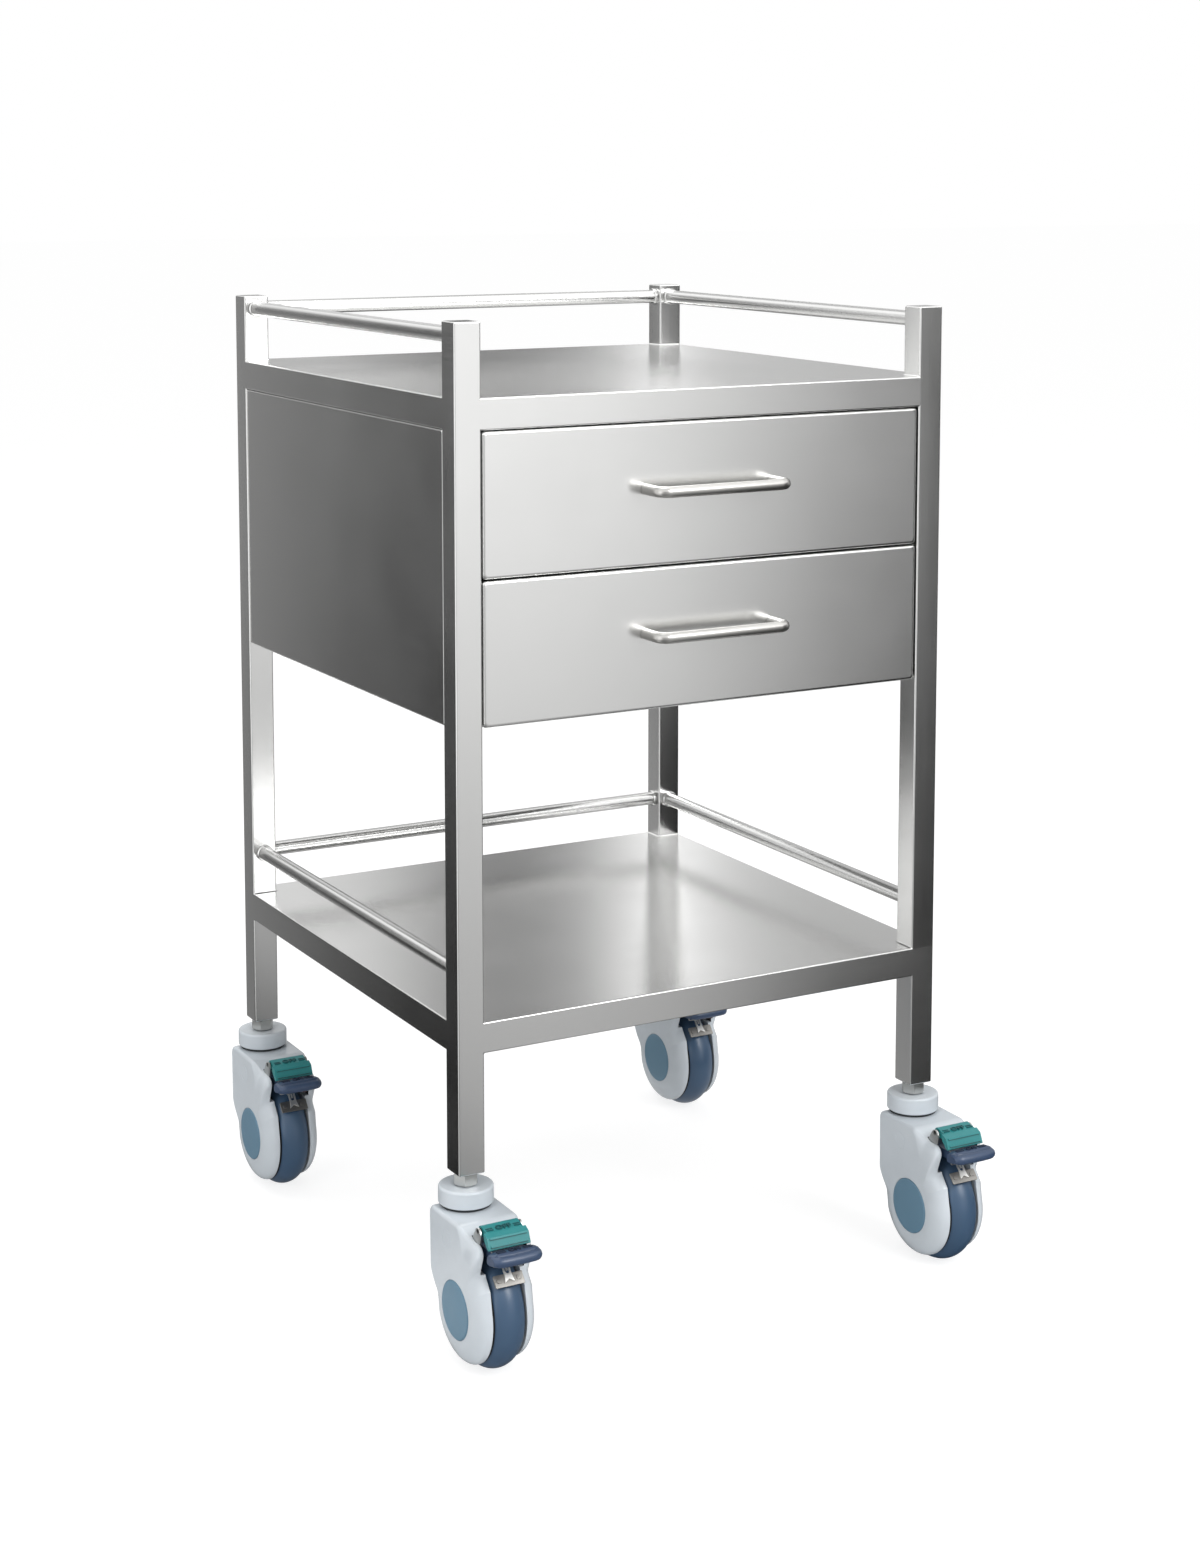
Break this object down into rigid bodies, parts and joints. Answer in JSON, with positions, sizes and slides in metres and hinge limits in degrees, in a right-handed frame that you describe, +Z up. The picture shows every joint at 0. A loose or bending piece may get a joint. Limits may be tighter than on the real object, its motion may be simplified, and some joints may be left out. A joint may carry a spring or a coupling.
{
  "type": "two-drawer trolley",
  "caption": "Stainless steel trolley on a square-tube frame with a railed tray top, drawers below it, a railed lower shelf and braked twin-sided swivel castors.",
  "frame": {"origin": "on the floor, under the middle of the whole footprint's box, castors and pedals included", "axes": "+Z up, -Y the way the drawers open, +X to the right of someone facing the drawers"},
  "size_m": [0.5346, 0.6044, 0.9],
  "materials": {
    "square_tube": "satin stainless tube",
    "tray_sheet": "fine satin stainless sheet",
    "panel_sheet": "fine satin stainless sheet",
    "guard_rod": "polished stainless rod",
    "handle_bar": "satin stainless bar",
    "zinc_steel": "bright zinc plate",
    "castor_plastic": "moulded pale grey nylon",
    "hub_cap_plastic": "moulded blue plastic",
    "release_plastic": "moulded teal plastic",
    "brake_plastic": "moulded navy plastic",
    "tyre_rubber": "glossy navy polyurethane"
  },
  "bodies": {
    "frame": {"front_left_post": "square_tube", "front_right_post": "square_tube", "rear_left_post": "square_tube", "rear_right_post": "square_tube", "top_tray": "tray_sheet", "shelf_tray": "tray_sheet", "left_panel": "panel_sheet", "right_panel": "panel_sheet", "back_panel": "panel_sheet", "top_back_rail": "guard_rod", "top_left_rail": "guard_rod", "top_right_rail": "guard_rod", "shelf_back_rail": "guard_rod", "shelf_left_rail": "guard_rod", "shelf_right_rail": "guard_rod", "left_runner_frame": "zinc_steel", "right_runner_frame": "zinc_steel", "front_left_stem": "zinc_steel", "front_right_stem": "zinc_steel", "rear_left_stem": "zinc_steel", "rear_right_stem": "zinc_steel", "front_left_collar": "castor_plastic", "front_right_collar": "castor_plastic", "rear_left_collar": "castor_plastic", "rear_right_collar": "castor_plastic"},
    "upper_drawer": {"upper_drawer_front": "panel_sheet", "upper_drawer_box": "panel_sheet", "upper_drawer_handle": "handle_bar"},
    "upper_middle_runners": {"upper_left_middle_runner": "zinc_steel", "upper_right_middle_runner": "zinc_steel"},
    "lower_drawer": {"lower_drawer_front": "panel_sheet", "lower_drawer_box": "panel_sheet", "lower_drawer_handle": "handle_bar"},
    "lower_middle_runners": {"lower_left_middle_runner": "zinc_steel", "lower_right_middle_runner": "zinc_steel"},
    "front_left_castor": {"front_left_housing": "castor_plastic", "front_left_axle": "hub_cap_plastic", "front_left_bracket": "zinc_steel"},
    "front_left_rolling": {"front_left_wheel": "tyre_rubber"},
    "front_left_brake": {"front_left_on_pedal": "brake_plastic"},
    "front_left_release": {"front_left_off_pedal": "release_plastic"},
    "front_right_castor": {"front_right_housing": "castor_plastic", "front_right_axle": "hub_cap_plastic", "front_right_bracket": "zinc_steel"},
    "front_right_rolling": {"front_right_wheel": "tyre_rubber"},
    "front_right_brake": {"front_right_on_pedal": "brake_plastic"},
    "front_right_release": {"front_right_off_pedal": "release_plastic"},
    "rear_left_castor": {"rear_left_housing": "castor_plastic", "rear_left_axle": "hub_cap_plastic", "rear_left_bracket": "zinc_steel"},
    "rear_left_rolling": {"rear_left_wheel": "tyre_rubber"},
    "rear_left_brake": {"rear_left_on_pedal": "brake_plastic"},
    "rear_left_release": {"rear_left_off_pedal": "release_plastic"},
    "rear_right_castor": {"rear_right_housing": "castor_plastic", "rear_right_axle": "hub_cap_plastic", "rear_right_bracket": "zinc_steel"},
    "rear_right_rolling": {"rear_right_wheel": "tyre_rubber"},
    "rear_right_brake": {"rear_right_on_pedal": "brake_plastic"},
    "rear_right_release": {"rear_right_off_pedal": "release_plastic"}
  },
  "joints": [
    {"name": "upper_drawer_slide", "type": "slide", "parent": "frame", "child": "upper_drawer", "axis": [0, -1, 0], "range_m": [0, 0.4]},
    {"name": "upper_runner_slide", "type": "slide", "parent": "frame", "child": "upper_middle_runners", "axis": [0, -1, 0], "range_m": [0, 0.2]},
    {"name": "lower_drawer_slide", "type": "slide", "parent": "frame", "child": "lower_drawer", "axis": [0, -1, 0], "range_m": [0, 0.4]},
    {"name": "lower_runner_slide", "type": "slide", "parent": "frame", "child": "lower_middle_runners", "axis": [0, -1, 0], "range_m": [0, 0.2]},
    {"name": "front_left_swivel", "type": "hinge", "parent": "frame", "child": "front_left_castor", "pos_m": [-0.2375, -0.1972, 0.131], "axis": [0, 0, 1], "continuous": true},
    {"name": "front_left_wheel_spin", "type": "hinge", "parent": "front_left_castor", "child": "front_left_rolling", "pos_m": [-0.2375, -0.2342, 0.054], "axis": [1, 0, 0], "continuous": true},
    {"name": "front_left_brake_pedal", "type": "hinge", "parent": "front_left_castor", "child": "front_left_brake", "pos_m": [-0.2375, -0.2562, 0.1145], "axis": [1, 0, 0], "range_deg": [0, 7]},
    {"name": "front_left_release_pedal", "type": "hinge", "parent": "front_left_castor", "child": "front_left_release", "pos_m": [-0.2375, -0.2612, 0.1325], "axis": [1, 0, 0], "range_deg": [-7, 0]},
    {"name": "front_right_swivel", "type": "hinge", "parent": "frame", "child": "front_right_castor", "pos_m": [0.2375, -0.1972, 0.131], "axis": [0, 0, 1], "continuous": true},
    {"name": "front_right_wheel_spin", "type": "hinge", "parent": "front_right_castor", "child": "front_right_rolling", "pos_m": [0.2375, -0.2342, 0.054], "axis": [1, 0, 0], "continuous": true},
    {"name": "front_right_brake_pedal", "type": "hinge", "parent": "front_right_castor", "child": "front_right_brake", "pos_m": [0.2375, -0.2562, 0.1145], "axis": [1, 0, 0], "range_deg": [0, 7]},
    {"name": "front_right_release_pedal", "type": "hinge", "parent": "front_right_castor", "child": "front_right_release", "pos_m": [0.2375, -0.2612, 0.1325], "axis": [1, 0, 0], "range_deg": [-7, 0]},
    {"name": "rear_left_swivel", "type": "hinge", "parent": "frame", "child": "rear_left_castor", "pos_m": [-0.2375, 0.2778, 0.131], "axis": [0, 0, 1], "continuous": true},
    {"name": "rear_left_wheel_spin", "type": "hinge", "parent": "rear_left_castor", "child": "rear_left_rolling", "pos_m": [-0.2375, 0.2408, 0.054], "axis": [1, 0, 0], "continuous": true},
    {"name": "rear_left_brake_pedal", "type": "hinge", "parent": "rear_left_castor", "child": "rear_left_brake", "pos_m": [-0.2375, 0.2188, 0.1145], "axis": [1, 0, 0], "range_deg": [0, 7]},
    {"name": "rear_left_release_pedal", "type": "hinge", "parent": "rear_left_castor", "child": "rear_left_release", "pos_m": [-0.2375, 0.2138, 0.1325], "axis": [1, 0, 0], "range_deg": [-7, 0]},
    {"name": "rear_right_swivel", "type": "hinge", "parent": "frame", "child": "rear_right_castor", "pos_m": [0.2375, 0.2778, 0.131], "axis": [0, 0, 1], "continuous": true},
    {"name": "rear_right_wheel_spin", "type": "hinge", "parent": "rear_right_castor", "child": "rear_right_rolling", "pos_m": [0.2375, 0.2408, 0.054], "axis": [1, 0, 0], "continuous": true},
    {"name": "rear_right_brake_pedal", "type": "hinge", "parent": "rear_right_castor", "child": "rear_right_brake", "pos_m": [0.2375, 0.2188, 0.1145], "axis": [1, 0, 0], "range_deg": [0, 7]},
    {"name": "rear_right_release_pedal", "type": "hinge", "parent": "rear_right_castor", "child": "rear_right_release", "pos_m": [0.2375, 0.2138, 0.1325], "axis": [1, 0, 0], "range_deg": [-7, 0]}
  ],
  "couplings": [
    {"joint": "upper_runner_slide", "follows": "upper_drawer_slide", "ratio": 0.5},
    {"joint": "lower_runner_slide", "follows": "lower_drawer_slide", "ratio": 0.5},
    {"joint": "front_left_release_pedal", "follows": "front_left_brake_pedal", "ratio": -1},
    {"joint": "front_right_release_pedal", "follows": "front_right_brake_pedal", "ratio": -1},
    {"joint": "rear_left_release_pedal", "follows": "rear_left_brake_pedal", "ratio": -1},
    {"joint": "rear_right_release_pedal", "follows": "rear_right_brake_pedal", "ratio": -1}
  ]
}
